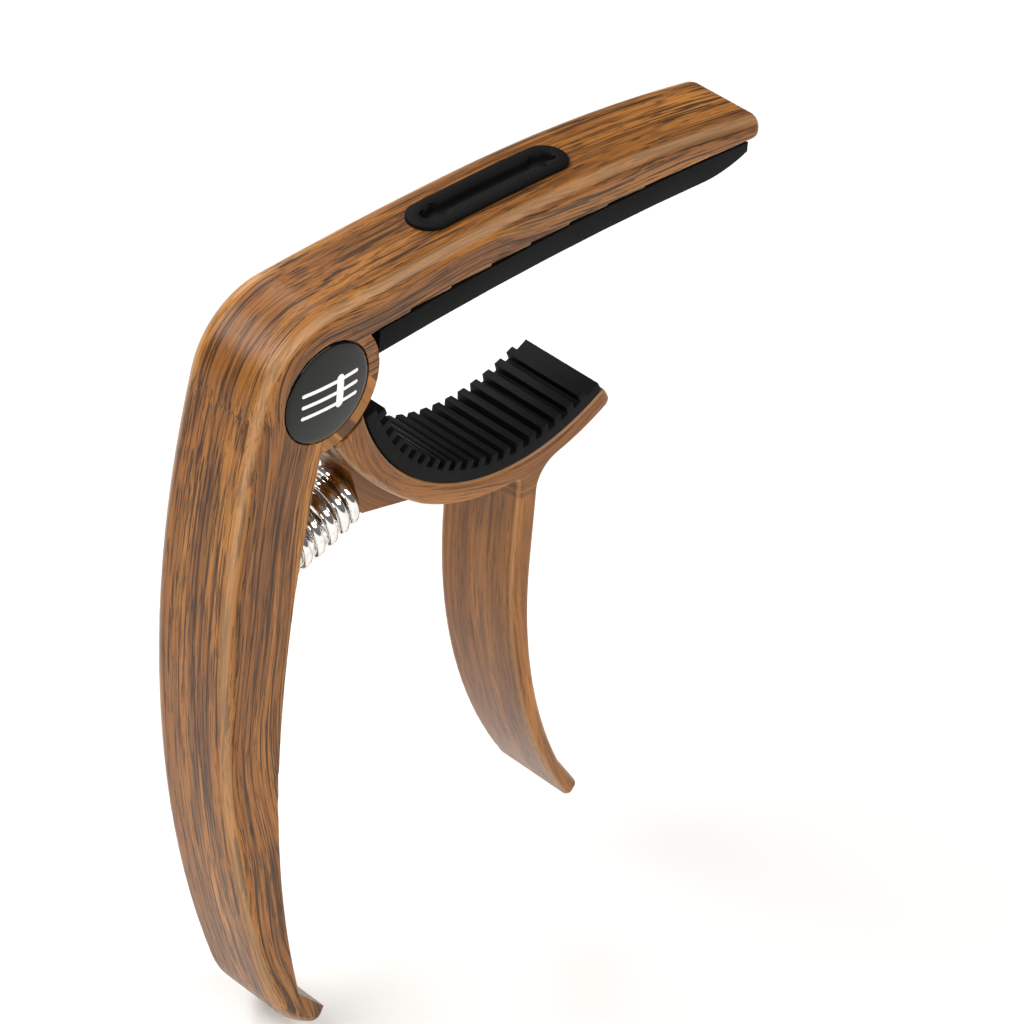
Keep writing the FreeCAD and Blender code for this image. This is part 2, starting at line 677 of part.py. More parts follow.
def make_pivot_pin():
    """Hinge pin with its flat head under the badge and a clip groove at the other end."""
    body = disc("pivot_pin", "pin_head_radius", HEAD_SEAT, "pin_head_height")
    shank = circle(new_sketch(body, "shank_circle", offset=HEAD_SEAT), "pivot_x", "pivot_z", "pin_radius")
    pad_one_way(body, "shank", shank, f"{HEAD_SEAT} + body_width / 2 - pin_end_gap", reverse=True)
    ring = new_sketch(body, "groove_ring", offset=f"-{CLIP_SEAT}")
    circle(circle(ring, "pivot_x", "pivot_z", "pin_radius * 2"), "pivot_x", "pivot_z", "pin_groove_radius")
    cut(body, "clip_groove", ring, "clip_thick")


def make_retaining_clip():
    """Open ring that snaps into the pin's groove."""
    body = disc("retaining_clip", "clip_radius", f"-({CLIP_SEAT} + 0.8 * clip_thick)", "0.8 * clip_thick",
                "pin_groove_radius + running_gap")
    mouth = new_sketch(body, "mouth_outline", offset=f"-{CLIP_SEAT}")
    outline(mouth, [
        ("pivot_x - clip_mouth / 2", "pivot_z - 2 * clip_radius"),
        ("pivot_x + clip_mouth / 2", "pivot_z - 2 * clip_radius"),
        ("pivot_x + clip_mouth / 2", "pivot_z"),
        ("pivot_x - clip_mouth / 2", "pivot_z"),
    ])
    cut(body, "mouth", mouth, "2 * clip_thick", both_ways=True)


def mark_outlines(body, prefix, slack):
    """Sketches of the badge's mark: a bar, then the strokes it crosses, each grown by `slack`."""
    face = f"{BADGE_FLOOR} + badge_disc_thick"
    pitch = f"(mark_length - mark_stroke) / {MARK_STRINGS - 1}"
    boxes = [(f"pivot_x - mark_length / 2 - {slack}", f"pivot_z - mark_stroke / 2 - {slack}",
              f"mark_length + 2 * {slack}", f"mark_stroke + 2 * {slack}")]
    for number in range(MARK_STRINGS):
        boxes.append((f"pivot_x - mark_length / 2 + {pitch} * {number} - {slack}",
                      f"pivot_z - mark_height / 2 - {slack}",
                      f"mark_stroke + 2 * {slack}", f"mark_height + 2 * {slack}"))
    for number, (left, low, width, height) in enumerate(boxes):
        sketch = new_sketch(body, f"{prefix}_{number}_outline", offset=face)
        yield number, outline(sketch, [
            (left, low), (f"{left} + {width}", low),
            (f"{left} + {width}", f"{low} + {height}"), (left, f"{low} + {height}"),
        ])


def make_badge():
    """Backing disc, the mark on it and the clear dome cast over both."""
    disc("badge_disc", "badge_radius", BADGE_FLOOR, "badge_disc_thick")
    mark = new_body("badge_mark")
    for number, sketch in mark_outlines(mark, "mark", "0"):
        pad_one_way(mark, f"mark_{number}", sketch, "mark_thick")
    dome = new_body("badge_dome")
    face = f"{BADGE_FLOOR} + badge_disc_thick"
    rise = "badge_dome_height - badge_dome_rim"
    profile = outline(turned_sketch(dome, "dome_profile", "pivot_x", "pivot_z", "0"), [
        ("0", f"-({face})"),
        ("0", f"-({face} + badge_dome_height)", bow_radius("badge_radius", rise), "left"),
        ("badge_radius", f"-({face} + badge_dome_rim)"),
        ("badge_radius", f"-({face})"),
    ])
    revolve(dome, "dome_turned", profile)
    for number, sketch in mark_outlines(dome, "relief", "0.01"):
        cut(dome, f"relief_{number}", sketch, "mark_thick + 0.01", reverse=True)


def make_spring():
    """Coil spring between the front handle's pocket and the web's peg, swept along a helix."""
    turn = DOC.addObject("Part::Helix", "spring_path")
    turn.setExpression("Radius", bound("spring_mean_radius"))
    turn.setExpression("Height", bound("spring_length - spring_wire"))
    turn.setExpression("Pitch", bound("(spring_length - spring_wire) / spring_turns"))
    wire = DOC.addObject("Part::Circle", "spring_wire_circle")
    wire.setExpression("Radius", bound("spring_wire / 2"))
    floor_x, floor_z = along_spring("spring_length - spring_wire / 2")
    lie = Rotation(Vector(0, 1, 0), value("90 - spring_tilt"))
    turn.Placement = Placement(Vector(value(floor_x), 0, value(floor_z)), lie)
    start = Placement(Vector(value("spring_mean_radius"), 0, 0), Rotation(Vector(1, 0, 0), 90))
    wire.Placement = turn.Placement.multiply(start)
    coil = DOC.addObject("Part::Sweep", "spring")
    coil.Sections, coil.Spine = [wire], (turn, ["Edge1"])
    coil.Solid, coil.Frenet = True, True
    coil.Label = "spring"
    DOC.recompute()
    NODES["spring"] = coil


def make_hinge_parts():
    """Pin, bush, washers, clip and cap of the hinge."""
    make_pivot_pin()
    bore = "pin_radius + running_gap"
    disc("pivot_bush", "bush_radius", "-knuckle_width / 2", "knuckle_width", bore)
    disc("front_washer", "washer_radius", "slot_width / 2 - washer_thick", "washer_thick", bore)
    disc("rear_washer", "washer_radius", "-slot_width / 2", "washer_thick", bore)
    make_retaining_clip()
    disc("pivot_cap", "rear_recess_radius - press_gap", "-(body_width / 2 - running_gap)", "cap_thick")


def check_and_export():
    """Stops on any failed object, then writes one STEP file for each node."""
    DOC.recompute()
    failed = [item.Name for item in DOC.Objects if "Invalid" in item.State or "Error" in item.State]
    if failed:
        raise RuntimeError(f"failed objects: {failed}")
    os.makedirs("parts", exist_ok=True)
    for label, node in NODES.items():
        shape = node.Shape
        if shape.isNull() or not shape.isValid() or len(shape.Solids) != 1:
            raise RuntimeError(f"{label} is not one valid solid")
        shape.exportStep(f"parts/{label}.step")
        box = shape.BoundBox
        print(f"{label}: {shape.Volume:.1f} mm3, x {box.XMin:.1f}..{box.XMax:.1f}, "
              f"y {box.YMin:.1f}..{box.YMax:.1f}, z {box.ZMin:.1f}..{box.ZMax:.1f}")


finish_upper_arm(make_upper_arm())
make_lower_jaw()
make_string_pad()
make_jaw_pad()
make_pick_holder()
make_hinge_parts()
make_badge()
make_spring()
check_and_export()
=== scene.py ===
import logging
import math
from dataclasses import dataclass
from enum import Enum
from typing import Any, Sequence

import bmesh
import bpy
from mathutils import Matrix, Vector


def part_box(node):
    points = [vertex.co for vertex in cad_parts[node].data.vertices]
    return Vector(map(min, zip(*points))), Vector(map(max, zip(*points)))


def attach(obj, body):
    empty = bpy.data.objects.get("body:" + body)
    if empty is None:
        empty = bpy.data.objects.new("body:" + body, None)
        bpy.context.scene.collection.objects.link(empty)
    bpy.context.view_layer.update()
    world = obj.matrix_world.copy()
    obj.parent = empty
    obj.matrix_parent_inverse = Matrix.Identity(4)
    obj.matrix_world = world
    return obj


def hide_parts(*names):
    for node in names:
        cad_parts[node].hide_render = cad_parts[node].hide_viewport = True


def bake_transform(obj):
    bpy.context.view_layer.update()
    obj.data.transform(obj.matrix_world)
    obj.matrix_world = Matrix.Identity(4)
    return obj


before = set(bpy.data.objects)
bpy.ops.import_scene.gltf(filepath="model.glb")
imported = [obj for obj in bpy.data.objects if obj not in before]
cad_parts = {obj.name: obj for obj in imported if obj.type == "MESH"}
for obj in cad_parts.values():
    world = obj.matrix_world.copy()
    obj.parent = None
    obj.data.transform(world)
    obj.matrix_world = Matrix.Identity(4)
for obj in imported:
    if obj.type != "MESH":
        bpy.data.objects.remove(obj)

LOG = logging.getLogger("capo")
MM = 0.001


def linear(hex_colour: str) -> tuple[float, float, float, float]:
    """Turns an sRGB hex colour such as "#8E6240" to linear.

    Args:
        hex_colour: the colour, with or without its leading "#".

    Returns:
        Red, green, blue and an alpha of 1.
    """
    digits = hex_colour.lstrip("#")
    channels = [int(digits[place:place + 2], 16) / 255 for place in (0, 2, 4)]
    red, green, blue = (c / 12.92 if c <= 0.04045 else ((c + 0.055) / 1.055) ** 2.4 for c in channels)
    return red, green, blue, 1.0


def add_node(tree: bpy.types.NodeTree, kind: str, settings: dict[str, Any] | None = None,
             inputs: dict[Any, Any] | Sequence[Any] = ()) -> bpy.types.Node:
    """Adds one shader node with its settings and links.

    Args:
        tree: the material's or world's node tree.
        kind: the node's type name.
        settings: attributes to set; "stops" holds a colour ramp's (position, colour) pairs.
        inputs: what goes into each socket, by name or number: a node, a socket or a plain value.

    Returns:
        The new node.
    """
    node = tree.nodes.new(kind)
    for name, value in (settings or {}).items():
        if name == "stops":
            ramp = node.color_ramp
            while len(ramp.elements) < len(value):
                ramp.elements.new(0.5)
            for element, (position, colour) in zip(ramp.elements, value):
                element.position, element.color = position, colour
        else:
            setattr(node, name, value)
    pairs = inputs.items() if isinstance(inputs, dict) else enumerate(inputs)
    for key, value in pairs:
        if isinstance(value, bpy.types.Node):
            value = value.outputs[0]
        if isinstance(value, bpy.types.NodeSocket):
            tree.links.new(value, node.inputs[key])
        else:
            node.inputs[key].default_value = value
    return node


def new_material(name: str, viewport: str
                 ) -> tuple[bpy.types.Material, bpy.types.NodeTree, bpy.types.Node]:
    """Starts a node material.

    Args:
        name: the material's name.
        viewport: sRGB hex colour of its solid view.

    Returns:
        The material, its node tree and its Principled shader, already linked to the output.
    """
    material = bpy.data.materials.new(name)
    material.use_nodes = True
    material.diffuse_color = linear(viewport)
    tree = material.node_tree
    tree.nodes.clear()
    shader = tree.nodes.new("ShaderNodeBsdfPrincipled")
    output = tree.nodes.new("ShaderNodeOutputMaterial")
    tree.links.new(shader.outputs[0], output.inputs["Surface"])
    return material, tree, shader


def object_mm(tree: bpy.types.NodeTree) -> tuple[bpy.types.Node, bpy.types.Node]:
    """Adds the object's own coordinates in millimetres.

    Args:
        tree: the material's node tree.

    Returns:
        The scaled coordinates, and the Texture Coordinate node they come from.
    """
    where = add_node(tree, "ShaderNodeTexCoord")
    scaled = add_node(tree, "ShaderNodeVectorMath", {"operation": "SCALE"},
                      {0: where.outputs["Object"], "Scale": 1 / MM})
    return scaled, where


class GrainRun(Enum):
    """How the printed grain lies on a casting."""

    ARM = "along the clamp bar, round the shoulder and down the front handle"
    JAW = "round the cradle and down the rear handle"


@dataclass(frozen=True)
class WoodFilm:
    """Zinc die casting with a walnut print laid on by water transfer, under a satin clear coat.

    The print gives dark pores and streaks that follow each arm, over a warm mid brown, and a painted
    highlight pales the long rounded edges; the coat gives a broad soft highlight along the bend.
    """

    name: str
    run: GrainRun
    light: str = "#B67933"
    middle: str = "#8F5923"
    shade: str = "#6B4016"
    dark: str = "#2B1709"
    pore: str = "#180B04"
    # painted highlight: the pale colour laid along the long rounded edges
    ridge_highlight: str = "#C49C74"
    streak_width: float = 0.34        # mm
    streak_length: float = 34.0
    hair_width: float = 0.24
    pore_width: float = 0.17
    pore_length: float = 4.5
    figure_width: float = 3.2
    bend_x: float = -35.6             # mm, centre of the shoulder's bend
    bend_z: float = -3.1
    bend_radius: float = 10.0
    bow_z: float = -31.0              # mm, where the handle's outer face stands out furthest
    bow: float = 0.0033               # and how it falls away from there, per millimetre
    arch_x: float = -8.0              # mm, top of the bar's arch, and how it falls away to the tip
    arch: float = 0.0024
    cradle_x: float = -5.8            # mm, centre of the cradle
    cradle_radius: float = 27.0
    handle_z: float = -38.0           # mm, where the rear handle starts to bow away from the cradle
    handle_bow: float = 0.0068        # and how far it does, per millimetre
    handle_from: float = 1.4          # mm outside the cradle where the grain starts to leave its curve
    handle_to: float = 4.5            # mm, where it runs down the handle
    roughness: float = 0.40
    coat: float = 0.3
    figure_depth: float = 0.75
    pore_depth: float = 0.7
    ridge_highlight_depth: float = 0.36         # how strongly the painted highlight pales the long rounded edges
    highlight_rise: tuple[float, float] = (0.12, 0.55)     # turn towards the side where the painted highlight sets in
    highlight_fall: tuple[float, float] = (0.66, 0.96)     # and where the painted highlight fades out again
    side_swing: float = 9.0           # mm, how far the figure swings off the arm's line on the sides
    rings_count: float = 8.0          # growth lines across the broad figure
    specular: float = 0.12            # a satin lacquer sends back less than a gloss
    coat_roughness: float = 0.30
    pore_bump: float = 0.02           # mm, depth of the printed pores

    def _along_arm(self, tree: bpy.types.NodeTree, x: Any, z: Any) -> tuple[Any, Any]:
        """Finds the way along and across the arm's grain, in millimetres.

        Args:
            tree: the material's node tree.
            x: socket of the place across the neck.
            z: socket of the height.

        Returns:
            The sockets or nodes of the distance along the grain and across it.
        """
        down = add_node(tree, "ShaderNodeMath", {"operation": "SUBTRACT"}, [
            add_node(tree, "ShaderNodeMath", {"operation": "MINIMUM"}, [z, self.bend_z]), self.bow_z])
        bowed = add_node(tree, "ShaderNodeMath", {"operation": "MULTIPLY"}, [down, down])
        dx = add_node(tree, "ShaderNodeMath", {"operation": "MULTIPLY_ADD"}, [
            bowed, -self.bow, add_node(tree, "ShaderNodeMath", {"operation": "SUBTRACT"},
                                       [x, self.bend_x - self.bow * (self.bend_z - self.bow_z) ** 2])])
        out = add_node(tree, "ShaderNodeMath", {"operation": "MAXIMUM"}, [
            add_node(tree, "ShaderNodeMath", {"operation": "SUBTRACT"}, [x, self.arch_x]), 0.0])
        arched = add_node(tree, "ShaderNodeMath", {"operation": "MULTIPLY"}, [out, out])
        dz = add_node(tree, "ShaderNodeMath", {"operation": "MULTIPLY_ADD"}, [
            arched, self.arch, add_node(tree, "ShaderNodeMath", {"operation": "SUBTRACT"}, [z, self.bend_z])])
        back = add_node(tree, "ShaderNodeMath", {"operation": "MAXIMUM"},
                        [add_node(tree, "ShaderNodeMath", {"operation": "MULTIPLY"}, [dx, -1.0]), 0.0])
        rise = add_node(tree, "ShaderNodeMath", {"operation": "MAXIMUM"}, [dz, 0.0])
        across = add_node(tree, "ShaderNodeVectorMath", {"operation": "LENGTH"},
                          [add_node(tree, "ShaderNodeCombineXYZ", inputs=[back, rise, 0.0])]).outputs["Value"]
        turned = add_node(tree, "ShaderNodeMath", {"operation": "ARCTAN2"}, [back, rise])
        ahead = add_node(tree, "ShaderNodeMath", {"operation": "ADD"}, [
            add_node(tree, "ShaderNodeMath", {"operation": "MAXIMUM"}, [dx, 0.0]),
            add_node(tree, "ShaderNodeMath", {"operation": "MINIMUM"}, [dz, 0.0])])
        along = add_node(tree, "ShaderNodeMath", {"operation": "MULTIPLY_ADD"},
                         [turned, -self.bend_radius, ahead])
        return along, across

    def _along_jaw(self, tree: bpy.types.NodeTree, x: Any, z: Any) -> tuple[Any, Any]:
        """Finds the way along and across the jaw's grain, in millimetres.

        Args:
            tree: the material's node tree.
            x: socket of the place across the neck.
            z: socket of the height.

        Returns:
            The sockets or nodes of the distance along the grain and across it.
        """
        dx = add_node(tree, "ShaderNodeMath", {"operation": "SUBTRACT"}, [x, self.cradle_x])
        reach = add_node(tree, "ShaderNodeVectorMath", {"operation": "LENGTH"},
                         [add_node(tree, "ShaderNodeCombineXYZ", inputs=[dx, z, 0.0])]).outputs["Value"]
        turned = add_node(tree, "ShaderNodeMath", {"operation": "ARCTAN2"}, [z, dx])
        round_it = add_node(tree, "ShaderNodeMath", {"operation": "MULTIPLY"}, [turned, self.cradle_radius])
        below = add_node(tree, "ShaderNodeMath", {"operation": "MINIMUM"}, [
            add_node(tree, "ShaderNodeMath", {"operation": "ADD"}, [z, -self.handle_z]), 0.0])
        bow = add_node(tree, "ShaderNodeMath", {"operation": "MULTIPLY"}, [below, below])
        across_handle = add_node(tree, "ShaderNodeMath", {"operation": "MULTIPLY_ADD"},
                                 [bow, -self.handle_bow, dx])
        on_handle = add_node(tree, "ShaderNodeMapRange", {"interpolation_type": "SMOOTHSTEP"},
                             {0: reach, 1: self.cradle_radius + self.handle_from,
                              2: self.cradle_radius + self.handle_to})
        along = add_node(tree, "ShaderNodeMix", inputs={0: on_handle, 2: round_it, 3: z})
        across = add_node(tree, "ShaderNodeMix", inputs={0: on_handle, 2: reach, 3: across_handle})
        return along, across

    def material(self) -> bpy.types.Material:
        """Builds the material.

        Returns:
            The wood film as a node material.
        """
        material, tree, shader = new_material(self.name, self.middle)
        place, where = object_mm(tree)
        parts = add_node(tree, "ShaderNodeSeparateXYZ", inputs=[place])
        x, y, z = parts.outputs
        along, across = (self._along_arm if self.run is GrainRun.ARM else self._along_jaw)(tree, x, z)
        # the film stretches where it wraps the sides, so the figure there swings off the arm's line
        facing = add_node(tree, "ShaderNodeSeparateXYZ", inputs=[where.outputs["Normal"]])
        side = add_node(tree, "ShaderNodeMath", {"operation": "ABSOLUTE"}, [facing.outputs["Y"]])
        swing_place = add_node(tree, "ShaderNodeCombineXYZ", inputs=[
            add_node(tree, "ShaderNodeMath", {"operation": "MULTIPLY"}, [along, 0.03]),
            add_node(tree, "ShaderNodeMath", {"operation": "MULTIPLY"}, [across, 0.05]),
            add_node(tree, "ShaderNodeMath", {"operation": "MULTIPLY"}, [y, 0.05])])
        swing = add_node(tree, "ShaderNodeTexNoise", {"noise_dimensions": "3D"},
                         {"Vector": swing_place, "Scale": 1.0, "Detail": 1.0})
        reach = add_node(tree, "ShaderNodeMapRange", {},
                         {0: side, 1: 0.0, 2: 1.0, 3: 1.0, 4: self.side_swing})
        swayed = add_node(tree, "ShaderNodeMath", {"operation": "MULTIPLY_ADD"}, [
            add_node(tree, "ShaderNodeMath", {"operation": "SUBTRACT"}, [swing.outputs[0], 0.5]),
            reach, across])
        grain = add_node(tree, "ShaderNodeCombineXYZ", inputs=[along, swayed, y])

        def stretched(length: float, width: float, detail: float, roughness: float) -> Any:
            """Draws noise out along the grain.

            Args:
                length: length of its features, in millimetres.
                width: their width, in millimetres.
                detail: octaves of finer noise.
                roughness: how strong those are.

            Returns:
                The socket of the noise's value.
            """
            spread = add_node(tree, "ShaderNodeVectorMath", {"operation": "MULTIPLY"},
                              [grain, (1 / length, 1 / width, 1 / width)])
            noise = add_node(tree, "ShaderNodeTexNoise", {"noise_dimensions": "3D"},
                             {"Vector": spread, "Scale": 1.0, "Detail": detail, "Roughness": roughness})
            return noise.outputs[0]

        figure = stretched(self.streak_length * 1.3, self.figure_width, 2.0, 0.5)
        hairs = stretched(self.streak_length * 0.6, self.hair_width, 3.0, 0.6)
        bands = stretched(self.streak_length * 1.4, self.streak_width * 2.4, 3.0, 0.55)
        streaks = stretched(self.streak_length * 0.7, self.streak_width, 2.0, 0.5)
        pores = stretched(self.pore_length, self.pore_width, 2.0, 0.6)
        # growth lines are contours of the broad figure
        rings = add_node(tree, "ShaderNodeMath", {"operation": "PINGPONG"}, [
            add_node(tree, "ShaderNodeMath", {"operation": "MULTIPLY"}, [figure, self.rings_count]), 0.5])
        tone = add_node(tree, "ShaderNodeMath", {"operation": "MULTIPLY_ADD"}, [
            figure, 0.55, add_node(tree, "ShaderNodeMath", {"operation": "MULTIPLY"}, [hairs, 0.45])])
        printed: Any = add_node(tree, "ShaderNodeValToRGB", {"stops": [
            (0.36, linear(self.shade)), (0.50, linear(self.middle)), (0.64, linear(self.light))]}, [tone])
        # each layer: its noise, the values where it is clear and full, how strong it prints, its ink
        layers = (
            (rings, 0.20, 0.02, self.figure_depth * 0.5, self.dark),
            (bands, 0.54, 0.60, self.figure_depth * 0.6, self.dark),
            (streaks, 0.55, 0.60, self.figure_depth * 1.1, self.dark),
            (hairs, 0.53, 0.58, self.pore_depth * 0.55, self.dark),
            (pores, 0.57, 0.62, self.pore_depth * 1.1, self.pore),
        )
        for layer, clear, full, depth, ink in layers:
            mask = add_node(tree, "ShaderNodeMapRange", {"interpolation_type": "SMOOTHSTEP"},
                            {0: layer, 1: clear, 2: full, 3: 0.0, 4: depth})
            printed = add_node(tree, "ShaderNodeMix", {"data_type": "RGBA"},
                               {0: mask, 6: printed, 7: linear(ink)}).outputs[2]
        # painted highlight: the long rounded edges are painted paler where they turn towards the side
        highlight_in = add_node(tree, "ShaderNodeMapRange", {"interpolation_type": "SMOOTHSTEP"},
                        {0: side, 1: self.highlight_rise[0], 2: self.highlight_rise[1],
                         3: 0.0, 4: self.ridge_highlight_depth})
        highlight_out = add_node(tree, "ShaderNodeMapRange", {"interpolation_type": "SMOOTHSTEP"},
                       {0: side, 1: self.highlight_fall[0], 2: self.highlight_fall[1], 3: 1.0, 4: 0.0})
        # mask of the painted highlight on the rounded edges
        thin = add_node(tree, "ShaderNodeMath", {"operation": "MULTIPLY"}, [highlight_in, highlight_out])
        printed = add_node(tree, "ShaderNodeMix", {"data_type": "RGBA"},
                           {0: thin, 6: printed, 7: linear(self.ridge_highlight)}).outputs[2]
        tree.links.new(printed, shader.inputs["Base Color"])
        gloss = add_node(tree, "ShaderNodeMapRange", {}, {0: pores, 1: 0.3, 2: 0.7,
                                                          3: self.roughness - 0.03, 4: self.roughness + 0.08})
        tree.links.new(gloss.outputs[0], shader.inputs["Roughness"])
        shader.inputs["IOR"].default_value = 1.5
        shader.inputs["Specular IOR Level"].default_value = self.specular
        shader.inputs["Coat Weight"].default_value = self.coat
        shader.inputs["Coat Roughness"].default_value = self.coat_roughness
        bump = add_node(tree, "ShaderNodeBump", {"invert": True},
                        {"Strength": 0.22, "Distance": self.pore_bump * MM, "Height": mask})
        tree.links.new(bump.outputs[0], shader.inputs["Normal"])
        return material


@dataclass(frozen=True)
class MouldedSilicone:
    """Black silicone rubber as moulded in a spark-eroded tool, which gives a dry, near black matte."""

    name: str = "silicone_moulded"
    colour: str = "#060607"
    lifted: str = "#0D0D0E"
    roughness: float = 0.58
    texture: float = 0.18             # mm, grain of the tool's surface, coarse enough to show
    ior: float = 1.42
    specular: float = 0.12            # a dry, dusty skin sends back little

    def material(self) -> bpy.types.Material:
        """Builds the material.

        Returns:
            The silicone as a node material.
        """
        material, tree, shader = new_material(self.name, self.colour)
        place, _ = object_mm(tree)
        grain = add_node(tree, "ShaderNodeTexNoise", {},
                         {"Vector": place, "Scale": 1 / self.texture, "Detail": 3.0})
        dust = add_node(tree, "ShaderNodeTexNoise", {}, {"Vector": place, "Scale": 0.12, "Detail": 3.0})
        colour = add_node(tree, "ShaderNodeValToRGB", {"stops": [
            (0.35, linear(self.colour)), (0.75, linear(self.lifted))]}, [dust.outputs[0]])
        tree.links.new(colour.outputs[0], shader.inputs["Base Color"])
        rough = add_node(tree, "ShaderNodeMapRange", {}, {0: dust.outputs[0], 1: 0.3, 2: 0.7,
                                                          3: self.roughness - 0.06, 4: self.roughness + 0.08})
        tree.links.new(rough.outputs[0], shader.inputs["Roughness"])
        shader.inputs["IOR"].default_value = self.ior
        shader.inputs["Specular IOR Level"].default_value = self.specular
        bump = add_node(tree, "ShaderNodeBump", {}, {"Strength": 0.25, "Distance": 0.02 * MM,
                                                     "Height": grain.outputs[0]})
        tree.links.new(bump.outputs[0], shader.inputs["Normal"])
        return material


@dataclass(frozen=True)
class Metal:
    """Bare or plated metal; a fine mottle left by drawing or turning breaks up its shine."""

    name: str
    colour: str
    shade: str
    roughness: float
    mottle: float                     # mm, size of the mottle
    mottle_depth: float = 0.12

    def material(self) -> bpy.types.Material:
        """Builds the material.

        Returns:
            The metal as a node material.
        """
        material, tree, shader = new_material(self.name, self.colour)
        place, _ = object_mm(tree)
        grain = add_node(tree, "ShaderNodeTexNoise", {}, {"Vector": place, "Scale": 1 / self.mottle,
                                                          "Detail": 4.0, "Roughness": 0.65})
        colour = add_node(tree, "ShaderNodeValToRGB", {"stops": [
            (0.3, linear(self.shade)), (0.6, linear(self.colour))]}, [grain.outputs[0]])
        tree.links.new(colour.outputs[0], shader.inputs["Base Color"])
        shader.inputs["Metallic"].default_value = 1.0
        rough = add_node(tree, "ShaderNodeMapRange", {}, {0: grain.outputs[0], 1: 0.3, 2: 0.7,
                                                          3: self.roughness * 0.8, 4: self.roughness * 1.25})
        tree.links.new(rough.outputs[0], shader.inputs["Roughness"])
        bump = add_node(tree, "ShaderNodeBump", {}, {"Strength": self.mottle_depth, "Distance": 0.005 * MM,
                                                     "Height": grain.outputs[0]})
        tree.links.new(bump.outputs[0], shader.inputs["Normal"])
        return material


@dataclass(frozen=True)
class HardPlastic:
    """Moulded or cast plastic; a faint waviness breaks its reflections as a real skin does."""

    name: str
    colour: str
    shade: str
    roughness: float
    coat: float = 0.0
    wave: float = 4.0                 # mm, size of the waviness
    ior: float = 1.5

    def material(self) -> bpy.types.Material:
        """Builds the material.

        Returns:
            The plastic as a node material.
        """
        material, tree, shader = new_material(self.name, self.colour)
        place, _ = object_mm(tree)
        wave = add_node(tree, "ShaderNodeTexNoise", {},
                        {"Vector": place, "Scale": 1 / self.wave, "Detail": 2.0})
        colour = add_node(tree, "ShaderNodeValToRGB", {"stops": [
            (0.3, linear(self.shade)), (0.7, linear(self.colour))]}, [wave.outputs[0]])
        tree.links.new(colour.outputs[0], shader.inputs["Base Color"])
        rough = add_node(tree, "ShaderNodeMapRange", {}, {0: wave.outputs[0], 1: 0.3, 2: 0.7,
                                                          3: self.roughness * 0.8, 4: self.roughness * 1.2})
        tree.links.new(rough.outputs[0], shader.inputs["Roughness"])
        shader.inputs["IOR"].default_value = self.ior
        shader.inputs["Coat Weight"].default_value = self.coat
        shader.inputs["Coat Roughness"].default_value = 0.04
        bump = add_node(tree, "ShaderNodeBump", {}, {"Strength": 0.05, "Distance": 0.01 * MM,
                                                     "Height": wave.outputs[0]})
        tree.links.new(bump.outputs[0], shader.inputs["Normal"])
        return material


def shade_smooth(piece: bpy.types.Object, angle: float = 35.0) -> None:
    """Smooths a mesh and keeps edges sharper than `angle` degrees.

    Args:
        piece: the mesh object.
        angle: largest angle between faces that is still smoothed.
    """
    work = bmesh.new()
    work.from_mesh(piece.data)
    for face in work.faces:
        face.smooth = True
    for edge in work.edges:
        edge.smooth = len(edge.link_faces) == 2 and edge.calc_face_angle(0.0) < math.radians(angle)
    work.to_mesh(piece.data)
    work.free()


def ring_mesh(name: str, rings: Sequence[Sequence[Vector]]) -> bpy.types.Object:
    """Skins a row of closed rings that have the same number of points, and closes both ends.

    Args:
        name: the new piece's name.
        rings: the rings in order, in metres.

    Returns:
        The new object, linked to the scene.
    """
    work = bmesh.new()
    rows = [[work.verts.new(point) for point in ring] for ring in rings]
    count = len(rows[0])
    for row, after in zip(rows, rows[1:]):
        for index in range(count):
            follow = (index + 1) % count
            work.faces.new((row[index], row[follow], after[follow], after[index]))
    for row in (rows[0], rows[-1]):
        work.faces.new(row)
    bmesh.ops.recalc_face_normals(work, faces=work.faces)
    mesh = bpy.data.meshes.new(name)
    work.to_mesh(mesh)
    work.free()
    piece = bpy.data.objects.new(name, mesh)
    bpy.context.collection.objects.link(piece)
    shade_smooth(piece)
    return piece


def finish_piece(piece: bpy.types.Object, material: bpy.types.Material, body: str,
                 stands_for: Sequence[str] = ()) -> None:
    """Gives a new piece its material, body and slot, and reports it.

    Args:
        piece: the new object.
        material: what it is made of.
        body: the moving body that carries it, or "" to attach it to none.
        stands_for: the solids it is shown in place of.
    """
    piece.data.materials.clear()
    piece.data.materials.append(material)
    if body:
        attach(piece, body)
    if stands_for:
        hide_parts(*stands_for)
    LOG.info("%s: %d faces, on %s", piece.name, len(piece.data.polygons), body or "both bodies")


def rounded_copy(node: str, name: str, radius: float, below: float, segments: int = 3) -> bpy.types.Object:
    """Copies a solid's mesh and rounds its edges, as a mould's corners do.

    Args:
        node: the solid's name.
        name: the new piece's name.
        radius: size of the rounding, in millimetres.
        below: edges higher than this, in metres, stay sharp.
        segments: faces across each rounding.

    Returns:
        The new object with the rounding applied.
    """
    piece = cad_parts[node].copy()
    piece.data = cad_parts[node].data.copy()
    piece.name = piece.data.name = name
    piece.parent = None
    piece.matrix_world = Matrix.Identity(4)
    bpy.context.collection.objects.link(piece)
    work = bmesh.new()
    work.from_mesh(piece.data)
    bmesh.ops.remove_doubles(work, verts=work.verts, dist=0.002 * MM)
    bmesh.ops.dissolve_limit(work, angle_limit=math.radians(1.0), verts=work.verts, edges=work.edges)
    sharp = [edge for edge in work.edges
             if len(edge.link_faces) == 2 and edge.calc_face_angle(0.0) > math.radians(32)
             and min(vertex.co.z for vertex in edge.verts) < below]
    bmesh.ops.bevel(work, geom=sharp, offset=radius * MM, offset_type="OFFSET", segments=segments,
                    profile=0.5, affect="EDGES", clamp_overlap=True)
    bmesh.ops.triangulate(work, faces=[face for face in work.faces if len(face.verts) > 4])
    work.to_mesh(piece.data)
    work.free()
    shade_smooth(piece, 30.0)
    return piece


